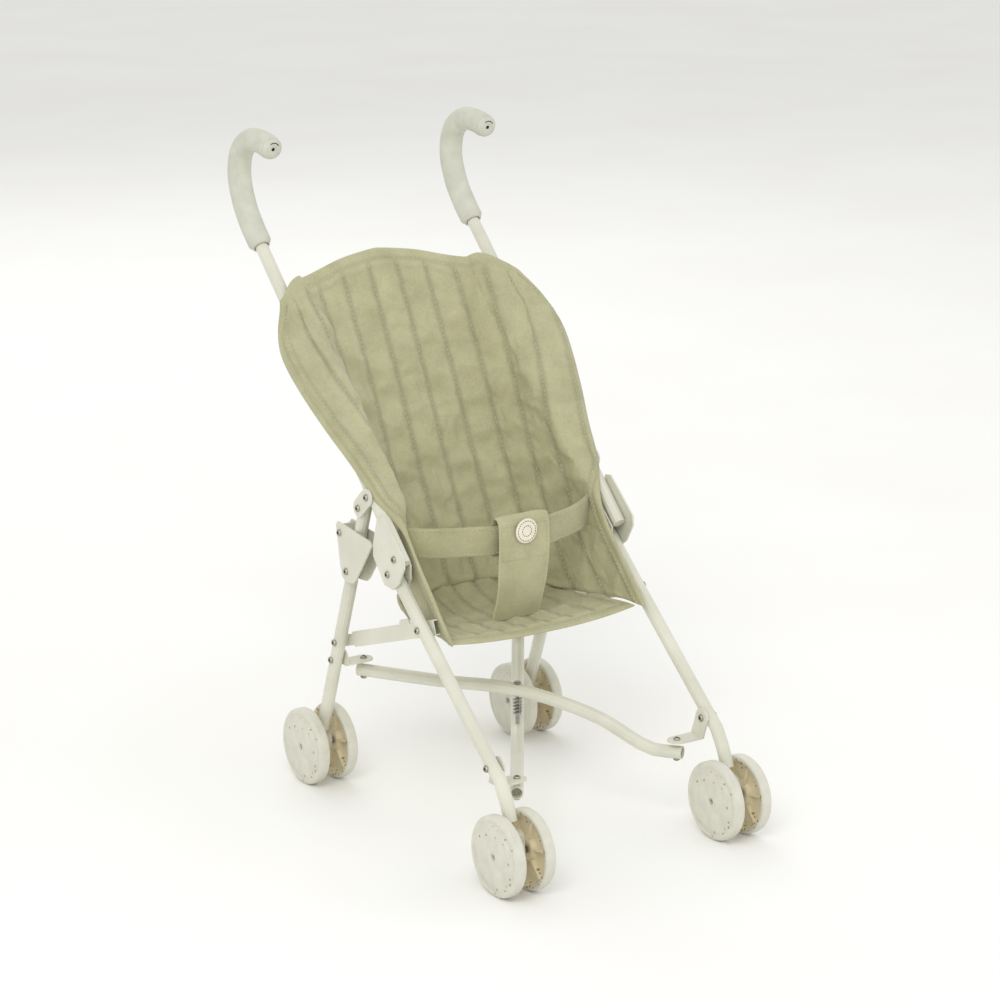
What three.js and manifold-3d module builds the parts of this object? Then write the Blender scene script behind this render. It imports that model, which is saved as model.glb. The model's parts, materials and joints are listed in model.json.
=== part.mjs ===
// Doll stroller: an umbrella stroller for dolls, with two side frames, a fabric sling seat,
// two crossed tubes under the seat and four pairs of twin wheels.
// Millimetres, +Z up. The stroller faces -Y. A place in a side frame is [f, z]: f is the distance
// forward of the rear axle, and z is the height above the ground.
import * as THREE from "three";
import { mergeVertices } from "three/addons/utils/BufferGeometryUtils.js";
import Module from "manifold-3d";

const wasm = await Module();
wasm.setup();

// ---- driving dimensions ----
const halfTrack = 106.5; // side frame plane to the middle plane
const rearAxleY = 99.9; // places the origin under the middle of the whole stroller
const wheelRadius = 33;
const wheelBase = 296;
const wheelWidth = 11;
const discOffset = 14.5; // side frame plane to the middle of each disc of a pair
const axleRadius = 2.4;
const tubeRadius = 5.5;
const tubeSides = 12;
const sheet = 1.5; // thickness of the pressed steel brackets
const plateIn = 5.9; // side frame plane to the near face of a bracket's plate
const gripRadius = 10;
const gripClearance = 1.1;
const rivetRadius = 2.6;
const rivetHeight = 1.2;

// places in a side frame, as [f, z]
const handleFoot = [139, 228];
const handlePivot = [135, 232];
const legTop = [119, 222];
const legPivot = [125, 217];
const gripStart = [-84, 451];
const crook = [gripStart, [-99, 466], [-112, 484], [-119.5, 506], [-115, 527]];
crook.push([-99, 539], [-80, 540], [-64, 537]);
const legKnee = [279, 85];
const legFoot = [293, 57];
const earUpper = [93, 274];
const earLower = [80, 262];
const rearLegTop = [81.4, 266];
const rearLegFoot = [5.7, 49];
const linkFront = [166, 180];
const linkRear = [36, 134];
const frontCross = [266, 94];
const rearCross = [29.4, 117];

// cross tubes: where their ends lie
const crossReach = 79; // middle plane to the centre of a tube's end rivet
const frontFlangeZ = 76; // underside of the front brackets' shelves
const rearFlangeZ = 111; // underside of the rear brackets' shelves
const frontCrossF = 260;
const rearCrossF = 28;
const shelfHalf = 8; // half width of a bracket's shelf and the radius of its round end
const pivotGap = 3.8; // room between a shelf and the tube that turns on it
const openGap = 4; // clearance at the open end of each cross tube

// fabric
const fabricHalf = 89; // half width of the seat between the side panels
const panelIn = 92; // middle plane to the inner face of a side panel
const panelThick = 3;
const backThick = 4;
const seatThick = 5;

// ---- materials ----
const paint = new THREE.MeshStandardMaterial({ color: 0xd6d5c6, roughness: 0.45, metalness: 0 });
const gripFoam = new THREE.MeshStandardMaterial({ color: 0xc9c9bd, roughness: 0.8, metalness: 0 });
const wheelPlastic = new THREE.MeshStandardMaterial({ color: 0xdcdccd, roughness: 0.5, metalness: 0 });
const steel = new THREE.MeshStandardMaterial({ color: 0x9a9a96, roughness: 0.35, metalness: 1 });
const cotton = new THREE.MeshStandardMaterial({ color: 0xb4b68c, roughness: 0.95, metalness: 0 });
const badgeFelt = new THREE.MeshStandardMaterial({ color: 0xe9e2cd, roughness: 0.9, metalness: 0 });

// ---- helpers ----
const yOf = (f) => rearAxleY - f;
const sidePoint = ([f, z], x = 0) => new THREE.Vector3(x, yOf(f), z);

function solid(geometry) {
  const bare = geometry.index ? geometry.toNonIndexed() : geometry.clone();
  bare.deleteAttribute("normal");
  bare.deleteAttribute("uv");
  const merged = mergeVertices(bare, 1e-4);
  return new wasm.Manifold(
    new wasm.Mesh({
      numProp: 3,
      vertProperties: merged.attributes.position.array,
      triVerts: new Uint32Array(merged.index.array),
    }),
  );
}

function geometryOf(body) {
  const { numProp, vertProperties, triVerts } = body.getMesh();
  const geometry = new THREE.BufferGeometry();
  geometry.setAttribute("position", new THREE.BufferAttribute(new Float32Array(vertProperties), numProp));
  geometry.setIndex(new THREE.BufferAttribute(new Uint32Array(triVerts), 1));
  geometry.computeVertexNormals();
  return geometry;
}

const union = (bodies) => bodies.reduce((a, b) => a.add(b));

// A flat plate lying in the side plane, from x = start to start + thickness.
function plate(outline, start, thickness) {
  const shape = new THREE.Shape(outline.map(([f, z]) => new THREE.Vector2(yOf(f), z)));
  const geometry = new THREE.ExtrudeGeometry(shape, { depth: thickness, bevelEnabled: false });
  geometry.applyMatrix4(
    new THREE.Matrix4().makeBasis(
      new THREE.Vector3(0, 1, 0),
      new THREE.Vector3(0, 0, 1),
      new THREE.Vector3(1, 0, 0),
    ),
  );
  geometry.translate(start, 0, 0);
  return solid(geometry);
}

// The same plate on the outward (sign 1) or inward side of a frame that lies on side s.
function sidePlate(outline, near, thickness, s) {
  return plate(outline, s > 0 ? near : -near - thickness, thickness);
}

// An outline with round ends about two places.
function capsule([f1, z1], [f2, z2], radius, steps = 6) {
  const angle = Math.atan2(z2 - z1, f2 - f1);
  const points = [];
  for (const [f, z, from] of [[f2, z2, angle - Math.PI / 2], [f1, z1, angle + Math.PI / 2]])
    for (let i = 0; i <= steps; i++) {
      const a = from + (Math.PI * i) / steps;
      points.push([f + radius * Math.cos(a), z + radius * Math.sin(a)]);
    }
  return points;
}

function pipe(points, radius, steps, sides = tubeSides, straight = false) {
  const curve = straight ? polyline(points) : new THREE.CatmullRomCurve3(points, false, "centripetal");
  const section = new THREE.Shape();
  for (let i = 0; i < sides; i++) {
    const a = (2 * Math.PI * i) / sides;
    const [x, y] = [radius * Math.cos(a), radius * Math.sin(a)];
    if (i) section.lineTo(x, y);
    else section.moveTo(x, y);
  }
  return solid(new THREE.ExtrudeGeometry(section, { steps, extrudePath: curve, bevelEnabled: false }));
}

function polyline(points) {
  const path = new THREE.CurvePath();
  for (let i = 1; i < points.length; i++) path.add(new THREE.LineCurve3(points[i - 1], points[i]));
  return path;
}

// A cylinder whose axis runs along x, centred on x = middle at a place in the side frame.
function crossPin(place, radius, length, middle, sides = 12) {
  const geometry = new THREE.CylinderGeometry(radius, radius, length, sides);
  geometry.rotateZ(-Math.PI / 2);
  const at = sidePoint(place, middle);
  geometry.translate(at.x, at.y, at.z);
  return solid(geometry);
}

const box = (x, y, z, at) => solid(new THREE.BoxGeometry(x, y, z).translate(at.x, at.y, at.z));

// Rivet heads on a plate's far face.
function rivetHeads(places, near, s) {
  const middle = s * (near + rivetHeight / 2);
  return places.map((place) => crossPin(place, rivetRadius, rivetHeight + 0.4, middle, 10));
}

const stroller = new THREE.Group();

function addMesh(group, name, body, material) {
  const mesh = new THREE.Mesh(body.isBufferGeometry ? body : geometryOf(body), material);
  mesh.name = name;
  group.add(mesh);
}

// ---- pieces of a side frame ----
const crookCurve = new THREE.CatmullRomCurve3(crook.map((p) => sidePoint(p)), false, "centripetal");
const crookPoints = (to, count) =>
  Array.from({ length: count + 1 }, (_, i) => crookCurve.getPointAt((to * i) / count));
const tubeInGrip = crookPoints(0.5, 6);

function handleTube() {
  return pipe([sidePoint(handleFoot), sidePoint([24, 343]), ...tubeInGrip.slice(0, -1)], tubeRadius, 16);
}

function grip() {
  const bore = pipe([sidePoint([24, 343]), ...tubeInGrip], tubeRadius + gripClearance, 20);
  return pipe(crookPoints(1, 12), gripRadius, 14, 14).subtract(bore);
}

function gripCap() {
  const end = crookCurve.getPointAt(1);
  const along = crookCurve.getTangentAt(1);
  const points = [new THREE.Vector2(0, 0.3), new THREE.Vector2(9.2, 0.3), new THREE.Vector2(9.2, 1.8)];
  points.push(new THREE.Vector2(7.6, 3), new THREE.Vector2(2, 3), new THREE.Vector2(2, 1.4));
  points.push(new THREE.Vector2(0, 1.4));
  const geometry = new THREE.LatheGeometry(points, 20);
  geometry.applyQuaternion(new THREE.Quaternion().setFromUnitVectors(new THREE.Vector3(0, 1, 0), along));
  geometry.translate(end.x, end.y, end.z);
  return solid(geometry);
}

const legPath = [legTop, [170, 177.5], [220, 135], [262, 99.5], legKnee, legFoot];
const frontLeg = () => pipe(legPath.map((p) => sidePoint(p)), tubeRadius, 14);

const rearLeg = () => pipe([sidePoint(rearLegFoot), sidePoint(rearLegTop)], tubeRadius, 1, tubeSides, true);

// The plastic block between the two discs, with the axle's bore.
function foot(hub, top) {
  return plate(capsule(hub, top, 7), -6.5, 13).subtract(crossPin(hub, axleRadius + 0.3, 20, 0, 16));
}

// Two plates joined by a web along one edge of their outlines.
function channelBracket(outline, innerOutline, webFrom, webTo, rivets, s) {
  const outer = sidePlate(outline, plateIn, sheet, s);
  const inner = sidePlate(innerOutline, plateIn, sheet, -s);
  const width = 2 * (plateIn + sheet);
  const web = plate(capsule(webFrom, webTo, sheet / 2 + 0.2, 3), -width / 2, width);
  return union([outer, inner, web, ...rivetHeads(rivets, plateIn + sheet, s)]);
}

// The inner plate stops short of the handle tube, where the fabric passes.
const mainLower = [[133, 206], [120, 207], [103, 227], [103, 238]];
const mainOuter = [[110, 263], [117, 264], [149, 236], [150, 228], [141, 212], ...mainLower];
const mainInner = [[110, 247], [120, 243], [138, 226], [138, 214], ...mainLower];
const mainBracket = (s) =>
  channelBracket(mainOuter, mainInner, [120.5, 209.5], [104.8, 228], [handlePivot, legPivot], s);

// The latch plates, fixed on the rear leg, that stop against the main bracket.
const latchOutline = [[44, 240], [47, 243], [98, 238], [101, 235], [98, 231], [75, 199], [70, 195]];
latchOutline.push([59, 194], [53, 197]);
const latchBracket = (s) =>
  channelBracket(latchOutline, latchOutline, [45.8, 239], [51.6, 205], [[50, 234], [60, 203]], s);

// The ear that carries the rear leg's pivot on the outer face of the handle tube.
const earBracket = (s) =>
  union([
    sidePlate(capsule(earUpper, earLower, 7.5), plateIn, sheet, s),
    ...rivetHeads([earUpper, earLower], plateIn + sheet, s),
  ]);

// An L bracket: a round-topped flange on the leg's inner face and a round-ended shelf, under which
// a cross tube's end turns.
function crossBracket(place, shelfF, shelfZ, s) {
  const [f, z] = place;
  const arc = Array.from({ length: 9 }, (_, i) => {
    const a = (Math.PI * i) / 8;
    return [f + shelfHalf * Math.cos(a), z + shelfHalf * Math.sin(a)];
  });
  const outline = [[shelfF + shelfHalf, shelfZ], ...arc, [shelfF - shelfHalf, shelfZ]];
  const flange = sidePlate(outline, plateIn, sheet, -s);
  const tip = -s * (halfTrack - crossReach);
  const shape = new THREE.Shape();
  shape.moveTo(-s * plateIn, yOf(shelfF) - shelfHalf);
  for (let i = 0; i <= 10; i++) {
    const a = -Math.PI / 2 + (Math.PI * i) / 10;
    shape.lineTo(tip - s * shelfHalf * Math.cos(a), yOf(shelfF) + shelfHalf * Math.sin(a));
  }
  shape.lineTo(-s * plateIn, yOf(shelfF) + shelfHalf);
  const shelf = new THREE.ExtrudeGeometry(shape, { depth: sheet, bevelEnabled: false });
  return union([flange, solid(shelf.translate(0, 0, shelfZ))]);
}

// ---- seat link: a channel bar with a sliding tongue ----
const linkAngle = Math.atan2(linkFront[1] - linkRear[1], linkFront[0] - linkRear[0]);
const along = ([f, z], u, v) => [
  f + u * Math.cos(linkAngle) - v * Math.sin(linkAngle),
  z + u * Math.sin(linkAngle) + v * Math.cos(linkAngle),
];
const linkLength = Math.hypot(linkFront[0] - linkRear[0], linkFront[1] - linkRear[1]);
const bar = (from, to, low, high) =>
  [[from, low], [to, low], [to, high], [from, high]].map(([u, v]) => along(linkRear, u, v));

function linkChannel(s) {
  const back = sidePlate(bar(12, linkLength + 7, -6.5, 6.5), 6.2, 1.2, -s);
  const lower = sidePlate(bar(12, linkLength + 7, -6.5, -5.3), 6.2, 5, -s);
  const upper = sidePlate(bar(12, linkLength + 7, 5.3, 6.5), 6.2, 5, -s);
  const tab = sidePlate(capsule(along(linkRear, 96, 6), along(linkRear, 104, 6), 4.5), 6.2, 1.2, -s);
  return union([back, lower, upper, tab]);
}

const linkTongue = (s) => sidePlate(bar(-6, 74, -4.9, 4.9), 7.8, 2, -s);

// ---- wheels ----
function wheelDisc() {
  const w = wheelWidth / 2;
  const profile = [
    [axleRadius + 0.25, -w + 3], [9, -w + 3], [11, -w + 6.5], [26, -w + 6.5], [29, -w], [32, -w],
    [wheelRadius, -w + 2.5], [wheelRadius, w - 3.4], [31.2, w - 1.2], [28, w - 0.6], [axleRadius + 0.25, w],
  ];
  const points = profile.map(([r, h]) => new THREE.Vector2(r, h));
  return new THREE.LatheGeometry([...points, points[0].clone()], 24);
}

// outward is 1 where the disc's domed face looks along +x.
function placedDisc(hub, x, outward) {
  const geometry = wheelDisc();
  geometry.rotateZ(-Math.PI / 2);
  if (outward < 0) geometry.rotateY(Math.PI);
  const at = sidePoint(hub, x);
  geometry.translate(at.x, at.y, at.z);
  return solid(geometry);
}

// ---- one side frame ----
const hubs = { front: [wheelBase, wheelRadius], rear: [0, wheelRadius] };
const feet = {
  front: foot(hubs.front, [295.4, 43.5]),
  rear: foot(hubs.rear, [2.6, 37]),
};

for (const [side, s] of [["left", -1], ["right", 1]]) {
  const frame = new THREE.Group();
  frame.position.x = s * halfTrack;
  stroller.add(frame);
  const piece = (name, body, material) => addMesh(frame, side + "_" + name, body, material);

  piece("handle_tube", handleTube(), paint);
  piece("grip", grip(), gripFoam);
  piece("grip_cap", gripCap(), gripFoam);
  piece("front_leg", frontLeg(), paint);
  piece("rear_leg", rearLeg(), paint);
  piece("main_bracket", mainBracket(s), paint);
  piece("latch_bracket", latchBracket(s), paint);
  piece("ear_bracket", earBracket(s), paint);
  piece("front_cross_bracket", crossBracket(frontCross, frontCrossF, frontFlangeZ, s), paint);
  piece("rear_cross_bracket", crossBracket(rearCross, rearCrossF, rearFlangeZ, s), paint);
  piece("seat_link", linkChannel(s), paint);
  piece("seat_link_tongue", linkTongue(s), paint);
  for (const end of ["front", "rear"]) {
    piece(end + "_foot", feet[end], wheelPlastic);
    piece(end + "_axle", crossPin(hubs[end], axleRadius, 2 * (discOffset + 2), 0, 16), steel);
    piece(end + "_outer_wheel", placedDisc(hubs[end], s * discOffset, s), wheelPlastic);
    piece(end + "_inner_wheel", placedDisc(hubs[end], -s * discOffset, -s), wheelPlastic);
  }
}

// ---- cross tubes: the upper one arches over the lower one, and both hang under their shelves ----
const crossRise = 18; // a tube's middle to the straight line between its ends
const rearEndZ = rearFlangeZ - openGap - tubeRadius;
const frontEndZ = frontFlangeZ - pivotGap - tubeRadius;
const middleF = (frontCrossF + rearCrossF) / 2;
const upperMiddleZ = (rearEndZ + frontEndZ) / 2 + crossRise;
const lowerMiddleZ = upperMiddleZ - 2 * crossRise;
const tubeOverhang = 5; // end rivet to the end of a tube
const mouthRadius = 4.4;
const mouthDepth = 9;

function crossTube(s, rise) {
  const front = sidePoint([frontCrossF, frontEndZ], s * crossReach);
  const rear = sidePoint([rearCrossF, rearEndZ], -s * crossReach);
  const place = (t, lift) => rear.clone().lerp(front, t).add(new THREE.Vector3(0, 0, lift * rise));
  const level = place(0.92, 0).setZ(frontEndZ);
  const tail = (end, next) => end.clone().add(end.clone().sub(next).setLength(tubeOverhang));
  const inner = [place(0.25, 0.45), place(0.5, 1), place(0.75, 0.7), level];
  const rearEnd = tail(rear, inner[0]);
  const frontEnd = tail(front, level);
  const mouth = (end, towards) => {
    const inside = end.clone().add(towards.clone().sub(end).setLength(mouthDepth));
    const outside = end.clone().sub(towards.clone().sub(end).setLength(1));
    return pipe([outside, inside], mouthRadius, 1, tubeSides, true);
  };
  const tube = pipe([rearEnd, rear, ...inner, front, frontEnd], tubeRadius, 24);
  return tube.subtract(mouth(rearEnd, rear)).subtract(mouth(frontEnd, front));
}

const upperTube = crossTube(1, crossRise);
const lowerTube = crossTube(-1, -crossRise);

const boltRadius = 1.7;
const boltHeadRadius = 3.2;
const springRadius = 3.3;
const springTop = upperMiddleZ - tubeRadius - 1.3;
const springBottom = lowerMiddleZ + tubeRadius + 9;
const springTurns = 5;

function centreBolt() {
  const headZ = upperMiddleZ + tubeRadius + 0.3;
  const lowZ = lowerMiddleZ + tubeRadius + 1;
  const profile = [[0, lowZ], [boltRadius, lowZ], [boltRadius, headZ], [boltHeadRadius, headZ]];
  profile.push([boltHeadRadius, headZ + 0.8], [2.2, headZ + 1.7], [0, headZ + 1.7]);
  const geometry = new THREE.LatheGeometry(profile.map(([r, h]) => new THREE.Vector2(r, h)), 16);
  geometry.rotateX(Math.PI / 2);
  geometry.translate(0, yOf(middleF), 0);
  return solid(geometry);
}

class Helix extends THREE.Curve {
  getPoint(t, target = new THREE.Vector3()) {
    const a = 2 * Math.PI * springTurns * t;
    const z = springBottom + (springTop - springBottom) * t;
    return target.set(springRadius * Math.cos(a), yOf(middleF) + springRadius * Math.sin(a), z);
  }
}

function centreSpring() {
  const section = new THREE.Shape();
  const wire = 0.7;
  for (let i = 0; i < 6; i++) {
    const a = (Math.PI * i) / 3;
    if (i) section.lineTo(wire * Math.cos(a), wire * Math.sin(a));
    else section.moveTo(wire, 0);
  }
  const settings = { steps: 45, extrudePath: new Helix(), bevelEnabled: false };
  return solid(new THREE.ExtrudeGeometry(section, settings));
}

const boltHole = new THREE.CylinderGeometry(boltRadius + 0.4, boltRadius + 0.4, 40, 16).rotateX(Math.PI / 2);
boltHole.translate(0, yOf(middleF), upperMiddleZ);
addMesh(stroller, "upper_cross_tube", upperTube.subtract(solid(boltHole)), paint);
addMesh(stroller, "lower_cross_tube", lowerTube, paint);
addMesh(stroller, "centre_bolt", centreBolt(), steel);
addMesh(stroller, "centre_spring", centreSpring(), steel);

// ---- fabric ----
const backPath = [[-70, 437], [-48, 395], [-18, 335], [12, 270], [40, 215], [57, 178]];
const offsetPath = (path, d) => path.map(([f, z]) => [f - d * 0.9, z - d * 0.43]);
const backOutline = [...backPath, ...offsetPath(backPath, backThick).reverse()];
addMesh(stroller, "seat_back", plate(backOutline, -fabricHalf, 2 * fabricHalf), cotton);

const seatTop = [[64, 167], [110, 160], [150, 162], [180, 167]];
const seatOutline = [...seatTop, ...seatTop.map(([f, z]) => [f, z - seatThick]).reverse()];
addMesh(stroller, "seat_base", plate(seatOutline, -fabricHalf, 2 * fabricHalf), cotton);

const panelOutline = [[-62, 426], [-40, 424], [-6, 398], [48, 340], [100, 287], [126, 256], [150, 222]];
panelOutline.push([184, 174], [168, 158], [60, 158], [42, 215], [14, 270], [-16, 335], [-46, 395]);
for (const [side, start] of [["left", -panelIn - panelThick], ["right", panelIn]])
  addMesh(stroller, side + "_side_panel", plate(panelOutline, start, panelThick), cotton);

// The belt is an arched band, the crotch strap carries a sleeve in front of it.
function beltShape() {
  const span = panelIn - 2;
  const [endF, crownF, thick] = [112, 146, 3];
  const points = [];
  const edge = (offset) =>
    Array.from({ length: 13 }, (_, i) => {
      const t = -1 + i / 6;
      return new THREE.Vector2(t * span, yOf(endF + (crownF - endF) * (1 - t * t) + offset));
    });
  points.push(...edge(0), ...edge(thick).reverse());
  const geometry = new THREE.ExtrudeGeometry(new THREE.Shape(points), { depth: 24, bevelEnabled: false });
  return solid(geometry.translate(0, 0, 226));
}
const strapWidth = 50;
const strapOutline = [[141, 166], [151, 200], [152, 254], [155.5, 254], [154.5, 199], [145, 166]];
addMesh(stroller, "waist_belt", beltShape(), cotton);
addMesh(stroller, "crotch_strap", plate(strapOutline, -strapWidth / 2, strapWidth), cotton);

const badge = new THREE.CylinderGeometry(10.5, 10.5, 1.5, 28);
badge.translate(0, yOf(156.8), 243);
addMesh(stroller, "round_badge", solid(badge), badgeFelt);

export default stroller;
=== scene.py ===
# Doll stroller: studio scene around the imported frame.
import json
import math

import bpy
from mathutils import Matrix, Vector, noise


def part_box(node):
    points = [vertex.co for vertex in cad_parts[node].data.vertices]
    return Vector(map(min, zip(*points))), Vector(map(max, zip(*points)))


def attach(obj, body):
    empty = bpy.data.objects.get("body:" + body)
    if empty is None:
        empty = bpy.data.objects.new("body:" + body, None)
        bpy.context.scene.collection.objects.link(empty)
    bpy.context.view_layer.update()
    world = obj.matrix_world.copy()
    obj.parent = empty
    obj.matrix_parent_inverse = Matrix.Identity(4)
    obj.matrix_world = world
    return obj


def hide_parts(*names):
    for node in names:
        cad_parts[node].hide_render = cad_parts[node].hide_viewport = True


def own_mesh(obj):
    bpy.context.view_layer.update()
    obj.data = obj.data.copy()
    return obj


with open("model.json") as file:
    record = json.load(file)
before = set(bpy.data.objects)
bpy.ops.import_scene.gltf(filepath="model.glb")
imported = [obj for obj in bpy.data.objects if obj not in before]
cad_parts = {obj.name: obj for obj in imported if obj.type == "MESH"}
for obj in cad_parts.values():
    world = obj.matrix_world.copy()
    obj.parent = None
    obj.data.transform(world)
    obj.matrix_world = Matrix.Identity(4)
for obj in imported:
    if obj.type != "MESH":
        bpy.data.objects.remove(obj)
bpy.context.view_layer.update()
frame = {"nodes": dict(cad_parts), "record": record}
mm = 0.001

# camera first
shot = {"aim": (0.0, -0.018, 0.260), "azimuth": -33.76, "elevation": 15.82, "distance": 2.532, "lens": 110.5}


def makeCamera():
    data = bpy.data.cameras.new("camera")
    data.lens = shot["lens"]
    data.sensor_width = 36
    camera = bpy.data.objects.new("camera", data)
    bpy.context.scene.collection.objects.link(camera)
    az, el = math.radians(shot["azimuth"]), math.radians(shot["elevation"])
    back = Vector((math.sin(az) * math.cos(el), -math.cos(az) * math.cos(el), math.sin(el)))
    camera.location = Vector(shot["aim"]) + back * shot["distance"]
    camera.rotation_euler = back.to_track_quat("Z", "Y").to_euler()
    bpy.context.scene.camera = camera


makeCamera()
print("camera placed")


def jointPlace(name):
    joint = next(j for j in frame["record"]["behaviour"]["joints"] if j["name"] == name)
    return Vector(joint["pos_m"])


rearAxleY = jointPlace("left_rear_spin").y
trackX = abs(jointPlace("left_rear_spin").x)  # side frame plane to the middle plane


# a place f mm forward of the rear axle, z mm above the ground and x mm to the right
def at(x, f, z):
    return Vector((x * mm, rearAxleY - f * mm, z * mm))


# straight-line value of y at x through pairs (x, y), x rising
def between(pairs, x):
    if x <= pairs[0][0]:
        return pairs[0][1]
    for (x0, y0), (x1, y1) in zip(pairs, pairs[1:]):
        if x <= x1:
            t = (x - x0) / (x1 - x0)
            return y0 + (y1 - y0) * t
    return pairs[-1][1]


# the same with smooth turns: the average of nearby straight-line values
def softBetween(pairs, x, reach):
    steps = 6
    return sum(between(pairs, x + reach * (i / steps)) for i in range(-steps, steps + 1)) / (2 * steps + 1)


def rise(low, high, x):
    t = min(max((x - low) / (high - low), 0), 1)
    return t * t * (3 - 2 * t)


def linear(hexColour):
    def channel(part):
        c = int(part, 16) / 255
        return c / 12.92 if c <= 0.04045 else ((c + 0.055) / 1.055) ** 2.4

    return tuple(channel(hexColour[i : i + 2]) for i in (1, 3, 5)) + (1.0,)


def darker(colour, share):
    return tuple(c * share for c in colour[:3]) + (1.0,)


# adds a shader node. "stops" are a colour ramp's places, each with a colour or a grey
def addNode(tree, kind, settings=None, links=None):
    node = tree.nodes.new("ShaderNode" + kind)
    for key, value in (settings or {}).items():
        if key == "stops":
            points = node.color_ramp.elements
            while len(points) < len(value):
                points.new(0.5)
            for point, (where, colour) in zip(points, value):
                point.position = where
                point.color = colour if isinstance(colour, tuple) else (colour, colour, colour, 1)
        elif isinstance(key, int) or key in node.inputs:
            node.inputs[key].default_value = value
        else:
            setattr(node, key, value)
    for key, source in (links or {}).items():
        tree.links.new(source, node.inputs[key])
    return node


def newMaterial(name):
    material = bpy.data.materials.new(name)
    material.use_nodes = True
    tree = material.node_tree
    shader = tree.nodes["Principled BSDF"]
    place = addNode(tree, "TexCoord").outputs["Object"]
    return material, tree, shader, place


# a pattern's scale from the real size of its cells in mm
def perMetre(size):
    return 1 / (size * mm)


def setShader(tree, shader, colour, roughness, height, bumpDistance, strength=1.0):
    tree.links.new(colour, shader.inputs["Base Color"])
    tree.links.new(roughness, shader.inputs["Roughness"])
    bump = addNode(tree, "Bump", {"Strength": strength, "Distance": bumpDistance}, {"Height": height})
    tree.links.new(bump.outputs["Normal"], shader.inputs["Normal"])


# polyester powder coat on steel: even cream with a fine orange peel and soft highlights
powderCoat = {"colour": "#dcdbcb", "shade": "#cfcebd", "cloud": 35, "peel": 1.6, "peelDepth": 0.05}


def powderCoatedSteel():
    material, tree, shader, place = newMaterial("powderCoatedSteel")
    cloud = addNode(tree, "TexNoise", {"Scale": perMetre(powderCoat["cloud"]), "Detail": 3.0}, {0: place})
    cloud = cloud.outputs["Fac"]
    tones = [(0.3, linear(powderCoat["shade"])), (0.7, linear(powderCoat["colour"]))]
    colour = addNode(tree, "ValToRGB", {"stops": tones}, {0: cloud})
    peel = addNode(tree, "TexNoise", {"Scale": perMetre(powderCoat["peel"]), "Detail": 2.0}, {0: place})
    rough = addNode(tree, "ValToRGB", {"stops": [(0.2, 0.40), (0.8, 0.50)]}, {0: cloud})
    depth = powderCoat["peelDepth"] * mm
    setShader(tree, shader, colour.outputs["Color"], rough.outputs["Color"], peel.outputs["Fac"], depth)
    shader.inputs["IOR"].default_value = 1.5
    shader.inputs["Coat Weight"].default_value = 0.12
    shader.inputs["Coat Roughness"].default_value = 0.3
    return material


# closed-cell EVA foam grip, moulded: matte greyish cream with fine pores
foamGrip = {"colour": "#cfcfc1", "shade": "#c1c1b2", "cloud": 12, "pore": 1.1, "poreDepth": 0.14}


def mouldedEvaFoam():
    material, tree, shader, place = newMaterial("mouldedEvaFoam")
    cloud = addNode(tree, "TexNoise", {"Scale": perMetre(foamGrip["cloud"]), "Detail": 4.0}, {0: place})
    cloud = cloud.outputs["Fac"]
    tones = [(0.3, linear(foamGrip["shade"])), (0.7, linear(foamGrip["colour"]))]
    colour = addNode(tree, "ValToRGB", {"stops": tones}, {0: cloud})
    pores = addNode(tree, "TexVoronoi", {"Scale": perMetre(foamGrip["pore"])}, {0: place})
    rough = addNode(tree, "ValToRGB", {"stops": [(0.2, 0.72), (0.8, 0.86)]}, {0: cloud})
    depth = foamGrip["poreDepth"] * mm
    pores = pores.outputs["Distance"]
    setShader(tree, shader, colour.outputs["Color"], rough.outputs["Color"], pores, depth, 0.6)
    return material


# moulded ABS with coloured flakes in a ring near the rim, as terrazzo-like regrind gives. The recess copy is
# painted light: the same plastic made warmer and brighter to stand in for light shining through its thin wall
speckledWheel = {
    "colour": "#dad8c9",
    # painted light: the recess's warmer, brighter colour stands in for light through the thin plastic
    "recess": "#eee3c3",
    "cell": 3.8,
    "flake": 0.36,  # share of a cell
    "chosen": 0.5,  # cells under this have no flake
    "inner": 17.5,
    "outer": 31.0,
    "flakes": ["#8a7350", "#8d9a78", "#b49a6c", "#a9a48e"],
    "cloud": 9,
    "grain": 0.9,
    "grainDepth": 0.03,
}


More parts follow.
